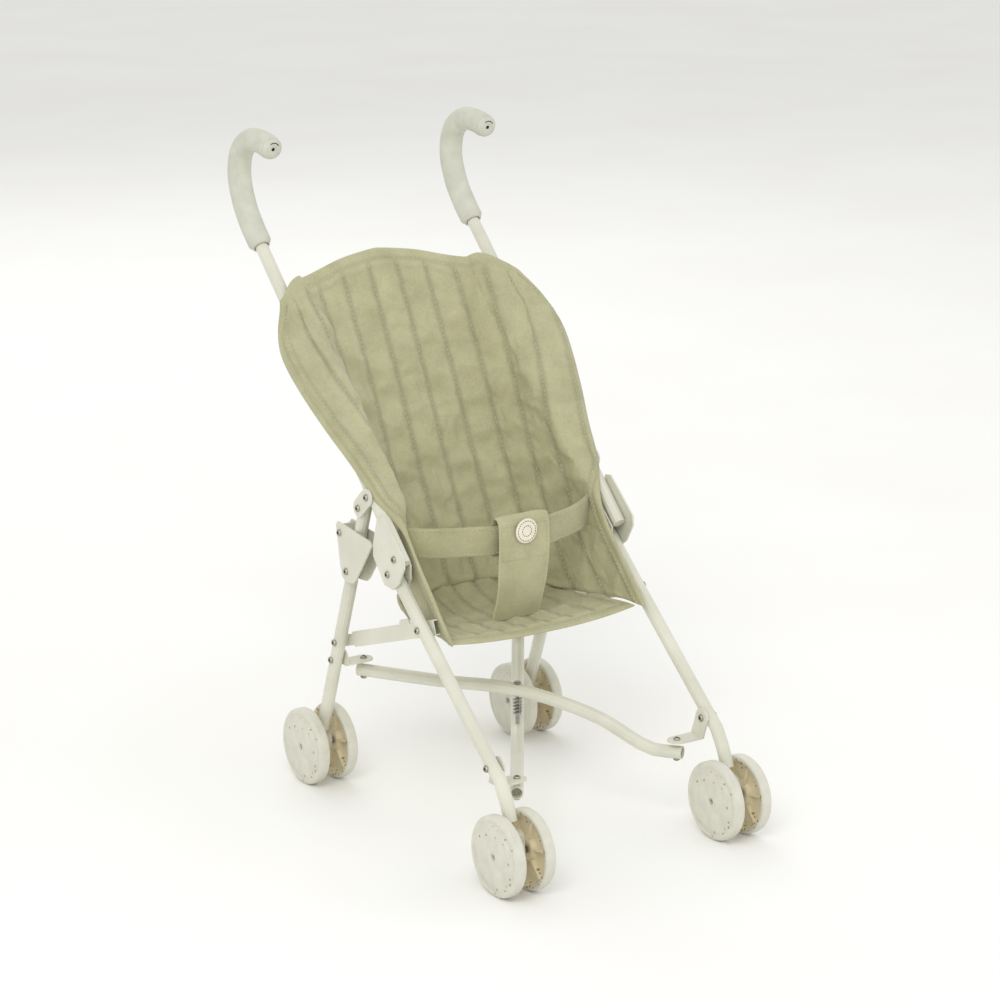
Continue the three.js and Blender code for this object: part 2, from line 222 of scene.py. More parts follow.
def mouldedAbs(recessed=False):
    material, tree, shader, place = newMaterial("mouldedAbsRecess" if recessed else "mouldedAbsSpeckled")
    # the recess copy starts from the painted-light colour
    base = linear(speckledWheel["recess"] if recessed else speckledWheel["colour"])
    split = addNode(tree, "SeparateXYZ", links={0: place})
    square = {"operation": "POWER", 1: 2.0}
    ySquare = addNode(tree, "Math", square, {0: split.outputs["Y"]})
    zSquare = addNode(tree, "Math", square, {0: split.outputs["Z"]})
    total = addNode(tree, "Math", {"operation": "ADD"}, {0: ySquare.outputs[0], 1: zSquare.outputs[0]})
    radius = addNode(tree, "Math", {"operation": "SQRT"}, {0: total.outputs[0]}).outputs[0]
    past = {"operation": "GREATER_THAN", 1: speckledWheel["inner"] * mm}
    within = {"operation": "LESS_THAN", 1: speckledWheel["outer"] * mm}
    inside = addNode(tree, "Math", past, {0: radius})
    outside = addNode(tree, "Math", within, {0: radius})
    times = {"operation": "MULTIPLY"}
    ring = addNode(tree, "Math", times, {0: inside.outputs[0], 1: outside.outputs[0]})
    cells = addNode(tree, "TexVoronoi", {"Scale": perMetre(speckledWheel["cell"])}, {0: place})
    small = {"operation": "LESS_THAN", 1: speckledWheel["flake"]}
    flake = addNode(tree, "Math", small, {0: cells.outputs["Distance"]})
    pick = addNode(tree, "SeparateXYZ", links={0: cells.outputs["Color"]})
    some = {"operation": "GREATER_THAN", 1: speckledWheel["chosen"]}
    chosen = addNode(tree, "Math", some, {0: pick.outputs["X"]})
    both = addNode(tree, "Math", times, {0: flake.outputs[0], 1: chosen.outputs[0]})
    mask = addNode(tree, "Math", times, {0: both.outputs[0], 1: ring.outputs[0]})
    flakeStops = list(zip((0.0, 0.4, 0.7, 1.0), (linear(colour) for colour in speckledWheel["flakes"])))
    flakeColour = addNode(tree, "ValToRGB", {"stops": flakeStops}, {0: pick.outputs["Y"]})
    cloud = addNode(tree, "TexNoise", {"Scale": perMetre(speckledWheel["cloud"]), "Detail": 3.0}, {0: place})
    cloud = cloud.outputs["Fac"]
    plain = addNode(tree, "ValToRGB", {"stops": [(0.25, darker(base, 0.86)), (0.7, base)]}, {0: cloud})
    layers = {0: mask.outputs[0], 6: plain.outputs["Color"], 7: flakeColour.outputs["Color"]}
    mix = addNode(tree, "Mix", {"data_type": "RGBA"}, layers)
    fine = addNode(tree, "TexNoise", {"Scale": perMetre(speckledWheel["grain"]), "Detail": 2.0}, {0: place})
    rough = addNode(tree, "ValToRGB", {"stops": [(0.2, 0.42), (0.8, 0.55)]}, {0: cloud})
    depth = speckledWheel["grainDepth"] * mm
    setShader(tree, shader, mix.outputs[2], rough.outputs["Color"], fine.outputs["Fac"], depth)
    shader.inputs["IOR"].default_value = 1.53
    return material


# zinc plated steel: cool grey metal, mottled by the plating
zincPlate = {"cloud": 2.5, "depth": 0.05, "dark": 0.7}


def zincPlatedSteel(name="zincPlatedSteel", colour="#a9a8a2"):
    material, tree, shader, place = newMaterial(name)
    cloud = addNode(tree, "TexNoise", {"Scale": perMetre(zincPlate["cloud"]), "Detail": 4.0}, {0: place})
    cloud = cloud.outputs["Fac"]
    base = linear(colour)
    tones = [(0.3, darker(base, zincPlate["dark"])), (0.7, base)]
    tint = addNode(tree, "ValToRGB", {"stops": tones}, {0: cloud})
    rough = addNode(tree, "ValToRGB", {"stops": [(0.2, 0.25), (0.8, 0.45)]}, {0: cloud})
    depth = zincPlate["depth"] * mm
    setShader(tree, shader, tint.outputs["Color"], rough.outputs["Color"], cloud, depth)
    shader.inputs["Metallic"].default_value = 1.0
    return material


# painted shadow inside a hollow rivet: the shallow bore floor is coloured near-black brown to stand in for the
# shade down the hole; rough
rivetBore = {"dark": "#1d1a16", "light": "#39342c", "cloud": 1.5}


def paintedBoreShadow():
    material, tree, shader, place = newMaterial("paintedBoreShadow")
    cloud = addNode(tree, "TexNoise", {"Scale": perMetre(rivetBore["cloud"])}, {0: place})
    tones = [(0.3, linear(rivetBore["dark"])), (0.7, linear(rivetBore["light"]))]
    tint = addNode(tree, "ValToRGB", {"stops": tones}, {0: cloud.outputs["Fac"]})
    tree.links.new(tint.outputs["Color"], shader.inputs["Base Color"])
    shader.inputs["Roughness"].default_value = 0.7
    return material


# plain-woven brushed cotton canvas: two thread directions, slubs and a soft nap.
# threads are about 0.45 mm apart, drawn at 1.1 mm so that they show
cottonCanvas = {"thread": 1.1, "depth": 0.16, "cloud": 28, "slub": 1.7}


def wovenCotton(name, light, dark, sheen=0.25):
    material, tree, shader, place = newMaterial(name)
    warp = {"wave_type": "BANDS", "bands_direction": "X", "Scale": perMetre(cottonCanvas["thread"]) / 3.14}
    warp |= {"Distortion": 1.2, "Detail": 2.0, "Detail Scale": 1.5}
    weft = dict(warp) | {"bands_direction": "Z"}
    across = addNode(tree, "TexWave", warp, {0: place})
    down = addNode(tree, "TexWave", weft, {0: place})
    weave = addNode(tree, "Math", {"operation": "ADD"}, {0: across.outputs["Fac"], 1: down.outputs["Fac"]})
    patchy = {"Scale": perMetre(cottonCanvas["cloud"]), "Detail": 5.0, "Roughness": 0.6}
    cloud = addNode(tree, "TexNoise", patchy, {0: place})
    slub = addNode(tree, "TexNoise", {"Scale": perMetre(cottonCanvas["slub"]), "Detail": 3.0}, {0: place})
    slub = slub.outputs["Fac"]
    fade = addNode(tree, "Math", {"operation": "MULTIPLY", 1: 0.35}, {0: slub})
    mostly = {"operation": "MULTIPLY_ADD", 1: 0.65}
    tone = addNode(tree, "Math", mostly, {0: cloud.outputs["Fac"], 2: fade.outputs[0]})
    tones = [(0.34, linear(dark)), (0.64, linear(light))]
    colour = addNode(tree, "ValToRGB", {"stops": tones}, {0: tone.outputs[0]})
    # painted shade along a sewn seam and in the hem groove: the colour darkens where the crease shadow falls
    depth = addNode(tree, "Attribute", {"attribute_name": "seamDepth"}).outputs["Fac"]
    shadow = addNode(tree, "Math", {"operation": "MULTIPLY", 1: 0.5}, {0: depth})
    layers = {0: shadow.outputs[0], 6: colour.outputs["Color"]}
    # the painted seam shade mixes towards a darker cloth colour
    seamShadedColour = addNode(tree, "Mix", {"data_type": "RGBA", 7: darker(linear(dark), 0.5)}, layers)
    half = {"operation": "MULTIPLY_ADD", 1: 0.5}
    grain = addNode(tree, "Math", half, {0: weave.outputs[0], 2: slub})
    rough = addNode(tree, "ValToRGB", {"stops": [(0.2, 0.86), (0.8, 0.97)]}, {0: slub})
    height = cottonCanvas["depth"] * mm
    setShader(tree, shader, seamShadedColour.outputs[2], rough.outputs["Color"], grain.outputs[0], height, 0.7)
    shader.inputs["Sheen Weight"].default_value = sheen
    shader.inputs["Sheen Roughness"].default_value = 0.5
    return material


finish = {
    "coat": powderCoatedSteel(),
    "foam": mouldedEvaFoam(),
    "wheel": mouldedAbs(),
    # the recess copy of the wheel plastic, with painted light shining through it
    "recess": mouldedAbs(recessed=True),
    "zinc": zincPlatedSteel(),
    "rivet": zincPlatedSteel("rolledRivetSteel", "#b9b5a6"),
    # painted shadow for the bottoms of holes
    "bore": paintedBoreShadow(),
    "canvas": wovenCotton("quiltedCottonCanvas", "#bbb893", "#a6a37f"),
    "binding": wovenCotton("cottonWebbing", "#b2af8a", "#9e9b76"),
    "thread": wovenCotton("cottonSewingThread", "#c9caa6", "#b5b790", 0.1),
    "felt": wovenCotton("creamWoolFelt", "#efe9d8", "#e0d8c2", 0.4),
    "stitchBrown": wovenCotton("brownEmbroideryFloss", "#8b6f55", "#74593f", 0.2),
}
print("materials ready")


def newPiece(name, verts, faces, materials, smooth=True, indices=None):
    mesh = bpy.data.meshes.new(name)
    mesh.from_pydata([tuple(v) for v in verts], [], faces)
    for material in materials:
        mesh.materials.append(material)
    for polygon in mesh.polygons:
        polygon.use_smooth = smooth
        if indices:
            polygon.material_index = indices[polygon.index]
    mesh.validate()
    mesh.update()
    piece = bpy.data.objects.new(name, mesh)
    bpy.context.scene.collection.objects.link(piece)
    return piece


def addModifier(piece, kind, **settings):
    modifier = piece.modifiers.new(kind.lower(), kind)
    for key, value in settings.items():
        setattr(modifier, key, value)
    return modifier


# a surface point grid made into a closed padded shell: near and far are grids of points
def paddedShell(name, near, far, materials):
    rows, columns = len(near), len(near[0])
    verts = [p for row in near for p in row] + [p for row in far for p in row]
    shift = rows * columns
    index = lambda r, c, side: side * shift + r * columns + c
    faces = []
    for r in range(rows - 1):
        for c in range(columns - 1):
            faces.append((index(r, c, 0), index(r, c + 1, 0), index(r + 1, c + 1, 0), index(r + 1, c, 0)))
            faces.append((index(r, c, 1), index(r + 1, c, 1), index(r + 1, c + 1, 1), index(r, c + 1, 1)))
    rim = [(0, c) for c in range(columns)] + [(r, columns - 1) for r in range(1, rows)]
    rim += [(rows - 1, c) for c in range(columns - 2, -1, -1)] + [(r, 0) for r in range(rows - 2, 0, -1)]
    for (r0, c0), (r1, c1) in zip(rim, rim[1:] + rim[:1]):
        faces.append((index(r0, c0, 0), index(r0, c0, 1), index(r1, c1, 1), index(r1, c1, 0)))
    return newPiece(name, verts, faces, materials)


def gridNormals(grid):
    rows, columns = len(grid), len(grid[0])
    normals = []
    for r in range(rows):
        line = []
        for c in range(columns):
            down = grid[min(r + 1, rows - 1)][c] - grid[max(r - 1, 0)][c]
            across = grid[r][min(c + 1, columns - 1)] - grid[r][max(c - 1, 0)]
            line.append(across.cross(down).normalized())
        normals.append(line)
    return normals


# a smooth curve through points, as `count` + 1 points
def curveThrough(points, count):
    padded = [2 * points[0] - points[1]] + list(points) + [2 * points[-1] - points[-2]]
    spans = len(points) - 1
    result = []
    for i in range(count + 1):
        place = spans * i / count
        k = min(int(place), spans - 1)
        t = place - k
        a, b, c, d = padded[k : k + 4]
        even = 2 * b + (c - a) * t + (2 * a - 5 * b + 4 * c - d) * t * t
        result.append(0.5 * (even + (3 * b - a - 3 * c + d) * t * t * t))
    return result


# evenly spaced points along a line of points
def evenly(points, count):
    lengths = [0.0]
    for a, b in zip(points, points[1:]):
        lengths.append(lengths[-1] + (b - a).length)
    result, k = [], 0
    for i in range(count + 1):
        want = lengths[-1] * i / count
        while k < len(points) - 2 and lengths[k + 1] < want:
            k += 1
        span = max(lengths[k + 1] - lengths[k], 1e-9)
        result.append(points[k].lerp(points[k + 1], (want - lengths[k]) / span))
    return result


# the points at given distances along a line of points
def alongAt(points, places):
    result, k, start = [], 0, 0.0
    span = (points[1] - points[0]).length
    for want in places:
        while k < len(points) - 2 and start + span < want:
            start += span
            k += 1
            span = (points[k + 1] - points[k]).length
        result.append(points[k].lerp(points[k + 1], min((want - start) / max(span, 1e-9), 1)))
    return result


# sweeps a closed section (side, up) along points; ups gives the up direction at each point
def sweep(name, points, ups, section, materials, closed=False):
    verts, faces = [], []
    count, sides = len(points), len(section)
    for i, (point, up) in enumerate(zip(points, ups)):
        if closed:
            along = points[(i + 1) % count] - points[i - 1]
        else:
            along = points[min(i + 1, count - 1)] - points[max(i - 1, 0)]
        along.normalize()
        side = along.cross(up).normalized()
        upright = side.cross(along)
        verts += [point + side * a + upright * b for a, b in section]
    for i in range(count if closed else count - 1):
        j = (i + 1) % count
        for k in range(sides):
            n = (k + 1) % sides
            faces.append((i * sides + k, i * sides + n, j * sides + n, j * sides + k))
    if not closed:
        faces.append(tuple(range(sides))[::-1])
        faces.append(tuple((count - 1) * sides + k for k in range(sides)))
    return newPiece(name, verts, faces, materials)


def ovalSection(halfWide, halfHigh, sides=12):
    turn = [2 * math.pi * i / sides for i in range(sides)]
    return [(halfWide * math.cos(a), halfHigh * math.sin(a)) for a in turn]


# a flat strap's section with soft corners
def strapSection(width, thick, sides=4):
    section, r = [], thick / 2
    for middle, start in ((width / 2 - r, -math.pi / 2), (-width / 2 + r, math.pi / 2)):
        for i in range(sides + 1):
            turn = start + math.pi * i / sides
            section.append((middle + r * math.cos(turn), r * math.sin(turn)))
    return section


# a turned shape about the x axis, from (radius, height) pairs in mm; shades gives a material to each ring
def turned(name, profile, segments, materials, shades=None, closed=True):
    verts, faces, indices = [], [], []
    for i in range(segments):
        a = 2 * math.pi * i / segments
        verts += [Vector((h * mm, r * mm * math.cos(a), r * mm * math.sin(a))) for r, h in profile]
    n = len(profile)
    for i in range(segments):
        j = (i + 1) % segments
        for k in range(n if closed else n - 1):
            m = (k + 1) % n
            faces.append((i * n + k, i * n + m, j * n + m, j * n + k))
            indices.append(shades[k] if shades else 0)
    return newPiece(name, verts, faces, materials, indices=indices)


# rows of short stitches lying on a line of points
def stitches(name, rows, pitch, material, thread=0.42):
    verts, faces = [], []
    sides, rings = 6, ((-0.5, 0.3), (-0.3, 0.95), (0.0, 1.0), (0.3, 0.95), (0.5, 0.3))
    for points, ups in rows:
        length = sum((b - a).length for a, b in zip(points, points[1:]))
        count = max(int(length / (pitch * mm)), 1)
        places = evenly(points, count)
        upAt = [ups[round(i * (len(ups) - 1) / count)] for i in range(count + 1)]
        for i in range(count):
            a, b = places[i].lerp(places[i + 1], 0.16), places[i].lerp(places[i + 1], 0.84)
            along = (b - a).normalized()
            side = along.cross(upAt[i]).normalized()
            up = side.cross(along)
            start = len(verts)
            for t, size in rings:
                centre = a.lerp(b, t + 0.5) + up * (0.25 - 0.9 * t * t) * thread * mm
                for k in range(sides):
                    turn = 2 * math.pi * k / sides
                    verts.append(centre + (side * math.cos(turn) + up * math.sin(turn)) * thread * mm * size)
            for r in range(len(rings) - 1):
                for k in range(sides):
                    n = (k + 1) % sides
                    low, high = start + r * sides, start + (r + 1) * sides
                    faces.append((low + k, low + n, high + n, high + k))
            faces.append(tuple(start + k for k in range(sides))[::-1])
            faces.append(tuple(start + (len(rings) - 1) * sides + k for k in range(sides)))
    return newPiece(name, verts, faces, [material])


# the frame's own nodes keep their shape and get a finish
sharpAngle = math.radians(38)


def dressNode(name, material, bevel=0.0):
    node = frame["nodes"][name]
    node.data.materials.clear()
    node.data.materials.append(material)
    for polygon in node.data.polygons:
        polygon.use_smooth = True
        polygon.material_index = 0
    node.data.set_sharp_from_angle(angle=sharpAngle)
    if bevel:
        addModifier(node, "BEVEL", width=bevel * mm, segments=2, limit_method="ANGLE", angle_limit=sharpAngle)


tubes = ["handle_tube", "front_leg", "rear_leg"]
sheetParts = ["main_bracket", "latch_bracket", "ear_bracket", "front_cross_bracket", "rear_cross_bracket"]
sheetParts += ["seat_link", "seat_link_tongue"]
for side in ("left", "right"):
    for part in tubes:
        dressNode(f"{side}_{part}", finish["coat"])
    for part in sheetParts:
        dressNode(f"{side}_{part}", finish["coat"], 0.35)
    dressNode(f"{side}_grip", finish["foam"], 1.2)
    dressNode(f"{side}_grip_cap", finish["foam"], 0.5)
    for end in ("front", "rear"):
        dressNode(f"{side}_{end}_foot", finish["wheel"], 0.8)
        dressNode(f"{side}_{end}_axle", finish["zinc"], 0.3)
dressNode("upper_cross_tube", finish["coat"])
dressNode("lower_cross_tube", finish["coat"])
dressNode("centre_bolt", finish["zinc"], 0.3)
dressNode("centre_spring", finish["zinc"])
print("frame dressed")

# wheel discs: radii in mm, and half the disc's width
wheel = {"radius": 33, "half": 5.5, "bore": 2.65, "segments": 72, "ribs": 6}
wheelRib = {"from": 10, "to": 26.6, "half": 0.8, "low": 2.6, "high": 6.7, "turn": 0.3}
boxFaces = [(0, 1, 2, 3), (7, 6, 5, 4), (0, 4, 5, 1), (1, 5, 6, 2), (2, 6, 7, 3), (3, 7, 4, 0)]


def wheelProfile():
    h, bore, r = wheel["half"], wheel["bore"], wheel["radius"]
    recess = [(bore, -h + 3), (8.3, -h + 3), (9.0, -h + 3.5), (10.6, -h + 6.1), (11.4, -h + 6.5)]
    recess += [(25.2, -h + 6.5), (26.2, -h + 6.0), (28.5, -h + 0.7)]
    rim = [(29.3, -h + 0.1), (31.5, -h), (32.5, -h + 0.5), (r, -h + 1.6), (r, h - 3.9), (32.7, h - 2.7)]
    rim += [(31.9, h - 1.7)]
    face = [(30.6, h - 1.15), (28.9, h - 0.85), (28.3, h - 1.25), (27.6, h - 1.3), (27.0, h - 0.8)]
    face += [(20, h - 0.4), (10, h - 0.1), (4.6, h), (3.5, h - 0.15), (bore, h - 0.8)]
    # the recess rings take the painted-light copy
    return recess + rim + face, [1] * len(recess) + [0] * (len(rim) + len(face))


def makeWheel(side, end, place):
    node = f"{side}_{end}_{place}_wheel"
    low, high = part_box(node)
    profile, shades = wheelProfile()
    disc = turned(f"{node}_disc", profile, wheel["segments"], [finish["wheel"], finish["recess"]], shades)
    verts, faces = [], []
    near, far, halfThick = wheelRib["from"], wheelRib["to"], wheelRib["half"]
    for i in range(wheel["ribs"]):
        turn = Matrix.Rotation(2 * math.pi * i / wheel["ribs"] + wheelRib["turn"], 4, "X")
        start = len(verts)
        for h in (-wheel["half"] + wheelRib["low"], -wheel["half"] + wheelRib["high"]):
            for r, w in ((near, -halfThick), (far, -halfThick), (far, halfThick), (near, halfThick)):
                verts.append(turn @ Vector((h * mm, w * mm, r * mm)))
        faces += [tuple(start + k for k in face) for face in boxFaces]
    # the ribs take the painted-light recess copy
    ribs = newPiece(f"{node}_ribs", verts, faces, [finish["recess"]], smooth=False)
    addModifier(ribs, "BEVEL", width=0.3 * mm, segments=2)
    outward = 1 if (side == "right") == (place == "outer") else -1
    for piece in (disc, ribs):
        piece.location = (low + high) / 2
        if outward < 0:
            piece.rotation_euler = (0, 0, math.pi)
        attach(piece, f"{side}_{end}_wheels")
    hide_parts(node)


for side in ("left", "right"):
    for end in ("front", "rear"):
        for place in ("outer", "inner"):
            makeWheel(side, end, place)
print("wheels made")

# hollow rivets: a rolled head with an open bore
rivet = {"radius": 3.0, "bore": 1.35, "height": 1.9, "boreFloor": 1.5, "plateOut": 7.4, "tubeOut": 5.3}
# places as (f, z) in a side frame
plateRivets = {
    "frame": [(135, 232), (125, 217), (93, 274), (80, 262)],
    "rear_leg_frame": [(50, 234), (60, 203)],
}
tubeRivets = {"frame": [(166, 180), (266, 94)], "rear_leg_frame": [(35.4, 134), (29.4, 117)]}
flangeRivets = {"frame": [(266, 94)], "rear_leg_frame": [(29.4, 117)]}
# a cross tube's end rivet: distance from the middle plane, then f, top of the shelf and underside of the tube
shelfRivets = {"frame": (79, 260, 77.5, 61.4), "rear_leg_frame": (79, 28, 112.5, 96.2)}


def setRivet(name, body, place, turn):
    r, b, h, low = rivet["radius"], rivet["bore"], rivet["height"], rivet["boreFloor"]
    profile = [(r, 0), (r, h * 0.35), (r * 0.86, h * 0.8), (r * 0.68, h), (b * 1.25, h), (b, h * 0.92)]
    profile += [(b, low), (0.05, low - 0.02)]
    # the bore's rings take the painted shadow
    shades = [0, 0, 0, 0, 0, 1, 1, 1]
    head = turned(name, profile, 24, [finish["rivet"], finish["bore"]], shades, closed=False)
    head.location = place
    head.rotation_euler = turn
    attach(head, body)


def setRivets():
    faceRight, faceLeft = (0, 0, 0), (0, 0, math.pi)
    faceUp, faceDown = (0, -math.pi / 2, 0), (0, math.pi / 2, 0)
    track = trackX / mm
    for side, sign in (("left", -1), ("right", 1)):
        outward, inward = (faceRight, faceLeft) if sign > 0 else (faceLeft, faceRight)
        for table, out, way, turn in (
            (plateRivets, rivet["plateOut"], sign, outward),
            (tubeRivets, rivet["tubeOut"], sign, outward),
            (flangeRivets, rivet["plateOut"], -sign, inward),
        ):
            kind = "plate" if table is plateRivets else "tube" if table is tubeRivets else "flange"
            for group, places in table.items():
                for i, (f, z) in enumerate(places):
                    place = at(sign * track + way * out, f, z)
                    setRivet(f"{side}_{group}_{kind}_rivet_{i + 1}", f"{side}_{group}", place, turn)
        for group, (x, f, top, under) in shelfRivets.items():
            setRivet(f"{side}_{group}_shelf_rivet", f"{side}_{group}", at(sign * x, f, top), faceUp)
            rightEnd = (sign > 0) == (group == "frame")
            tube = "upper_tube" if rightEnd else "lower_tube"
            setRivet(f"{side}_{group}_tube_end_rivet", tube, at(sign * x, f, under), faceDown)


setRivets()
print("rivets set")

# foam grips on the crooks, with their end plugs
grip = {"radius": 10, "bore": 6.2, "rings": 120, "sides": 36, "plug": 9.2}
crook = [(-84, 451), (-99, 466), (-112, 484), (-119.5, 506), (-115, 527), (-99, 539), (-80, 540), (-64, 537)]


def makeGrip(side, sign):
    x = sign * trackX / mm
    line = evenly(curveThrough([at(x, f, z) for f, z in crook], 200), grip["rings"])
    across = Vector((1, 0, 0))
    length = pathLength(line) / mm
    verts, faces = [], []
    rings = []
    for i, point in enumerate(line):
        fromStart = length * i / grip["rings"]
        toEnd = length - fromStart
        r = grip["radius"] - 2.4 * (1 - rise(0, 4.5, fromStart)) - 0.9 * (1 - rise(0, 2.5, toEnd))
        rings.append((point, r, i))
    rings = [(line[0], grip["bore"], 0)] + rings + [(line[-1], grip["bore"], len(line) - 1)]
    for point, r, i in rings:
        along = (line[min(i + 1, len(line) - 1)] - line[max(i - 1, 0)]).normalized()
        up = across.cross(along)
        for k in range(grip["sides"]):
            a = 2 * math.pi * k / grip["sides"]
            verts.append(point + (across * math.cos(a) + up * math.sin(a)) * r * mm)
    n = grip["sides"]
    for i in range(len(rings) - 1):
        for k in range(n):
            m = (k + 1) % n
            faces.append((i * n + k, i * n + m, (i + 1) * n + m, (i + 1) * n + k))
    piece = newPiece(f"{side}_foam_grip", verts, faces, [finish["foam"]])
    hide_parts(f"{side}_grip")
    profile = [(grip["plug"], 0.0), (grip["plug"], 1.3), (8.7, 2.2), (7.4, 3.0), (5, 3.5), (2.1, 3.6)]
    hole = [(1.5, 3.3), (1.3, 1.2), (0.05, 1.1)]
    # the plug's hole takes the painted bore shadow
    shades = [0] * len(profile) + [1] * len(hole)
    skins = [finish["foam"], finish["bore"]]
    plug = turned(f"{side}_grip_plug", profile + hole, 48, skins, shades, closed=False)
    alongEnd = (line[-1] - line[-4]).normalized()
    plug.location = line[-1]
    plug.rotation_mode = "QUATERNION"
    plug.rotation_quaternion = Vector((1, 0, 0)).rotation_difference(alongEnd)
    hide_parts(f"{side}_grip_cap")
    arc = [(5.6 * math.cos(a), 5.6 * math.sin(a)) for a in (math.radians(45 + 9 * k) for k in range(11))]
    turn = plug.rotation_quaternion
    mark = [line[-1] + turn @ (Vector((3.45, b, c)) * mm) for b, c in arc]
    oval = ovalSection(0.4 * mm, 0.25 * mm, 8)
    # the mark takes the same dark painted-shadow finish as the hole
    ridge = sweep(f"{side}_grip_plug_mark", mark, [alongEnd] * len(mark), oval, [finish["bore"]])
    for part in (piece, plug, ridge):
        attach(part, f"{side}_frame")


def pathLength(points):
    return sum((b - a).length for a, b in zip(points, points[1:]))


for side, sign in (("left", -1), ("right", 1)):
    makeGrip(side, sign)
print("grips moulded")

# fabric sling: back and wings. It lies along the handle tubes: u runs up a tube, v stands forward of it
sling = {
    "depth": [(-10, 100), (60, 100), (86, 93), (124, 79), (182, 60), (250, 35), (313, 14), (358, 1)],
    "edgeX": [(-10, 95.5), (74, 95.5), (98, 99), (114, 107), (157, 115), (190, 124), (222, 131), (248, 135),
              (268, 135), (288, 130), (304, 123), (318, 116)],
    "edgeV": [(-10, -5), (60, -1), (96, 5), (128, 11), (250, 13), (307, 11)],
    "channelWidth": 27.5,
    "channelColumns": 14,
    "channels": 12,
    "fixedChannels": 4,  # on each side of the middle
    "rows": 84,
    "crown": 2.2,
    "thick": 2.4,
    "hem": 11,
    # x and u of the top edge
    "topLine": [(0, 365), (37, 359), (64, 350), (97, 338.5), (107, 331), (114, 321), (119, 311)],
    "footGap": 1.2,
}
tubeSum = 367  # on a handle tube f + z is this many mm
rootTwo = math.sqrt(2)
seat = {
    "centre": [(54, 176), (60, 171), (72, 165.5), (95, 161), (125, 160.5), (150, 162.5), (172, 165),
               (184, 164)],
    "edgeRise": [(58, 5), (90, 7), (150, 7), (184, 5)],
    "half": 92.5,
    "back": 57,
    "front": 182,
    "rearNarrow": 7,
    "rearSweep": 104,
    "frontBow": 3,
    "thick": 2.6,
    "crown": 1.9,
    "channelColumns": 12,
    "channels": 8,
    "rows": 60,
    "hem": 9,
}


def seatHeight(x, f):
    return softBetween(seat["centre"], f, 7) + between(seat["edgeRise"], f) * (abs(x) / seat["half"]) ** 2.6


# u and v of a place, back to f and z
def fromTube(u, v):
    return (tubeSum + rootTwo * (v - u)) / 2, (tubeSum + rootTwo * (v + u)) / 2


def slingSection(u):
    depth = softBetween(sling["depth"], u, 18)
    edgeX = softBetween(sling["edgeX"], u, 10)
    edgeV = softBetween(sling["edgeV"], u, 12)
    wing = rise(84, 126, u)
    roll = wing * (1 - rise(270, 312, u))
    half = [
        (0, -depth),
        (32 - 2 * wing, -depth * 0.985),
        (57 - 4 * wing, -depth * 0.9),
        (75 - 7 * wing, -depth * 0.7),
        (86.5 - 9 * wing, -depth * 0.42),
        (92.5 - 9 * wing, -depth * 0.14),
        (94.5 - 9 * wing, (1 - wing) * edgeV * 0.5 + wing * 3),
        (95 - 4 * wing, (1 - wing) * edgeV * 0.8 + wing * 8.2),
        (95.3 + wing * 9, (1 - wing) * edgeV * 0.9 + wing * 10.3),
        (edgeX - 5 * wing, edgeV + 0.6 * wing),
        (edgeX + 0.6 * wing, edgeV - 2.2 * roll),
        (edgeX + 0.6 * wing - 0.4 * roll, edgeV - 1 - 8 * roll),
    ]
    line = curveThrough([Vector((x, v, 0)) for x, v in half], 120)
    full = pathLength(line)
    step, count = sling["channelColumns"], sling["channels"] * sling["channelColumns"] // 2
    fixed = sling["fixedChannels"] * step
    pitch = sling["channelWidth"] / step
    places = [i * pitch for i in range(fixed + 1)]
    rest = (full - places[-1]) / (count - fixed)
    places += [places[-1] + rest * (i + 1) for i in range(count - fixed)]
    right = alongAt(line, places)
    return [Vector((-p.x, p.y, 0)) for p in right[:0:-1]] + right


sectionStore = {}


def slingPoint(u, c):
    low = math.floor(u / 3) * 3
    for key in (low, low + 3):
        if key not in sectionStore:
            sectionStore[key] = slingSection(key)
    return sectionStore[low][c].lerp(sectionStore[low + 3][c], (u - low) / 3)


def slingColumn(c):
    top = 340.0
    for _ in range(24):
        x = abs(slingPoint(top, c).x)
        top += (softBetween(sling["topLine"], x, 12) - top) * 0.5
    low = 80.0
    for _ in range(40):
        p = slingPoint(low, c)
        f, z = fromTube(low, p.y)
        low += (seatHeight(p.x, f) + sling["footGap"] - z) * 0.7
    return top, low


# shares of the crown and mm along the cloth
quiltShape = {"waver": 0.25, "farShare": 0.55, "hemLift": 0.5, "hemSlope": 6, "seamShade": 3.2}
quiltShape |= {"groove": 0.9, "grooveIn": 1.5, "grooveWide": 1.3, "edgeThin": 0.45, "edgeRound": 2.5}


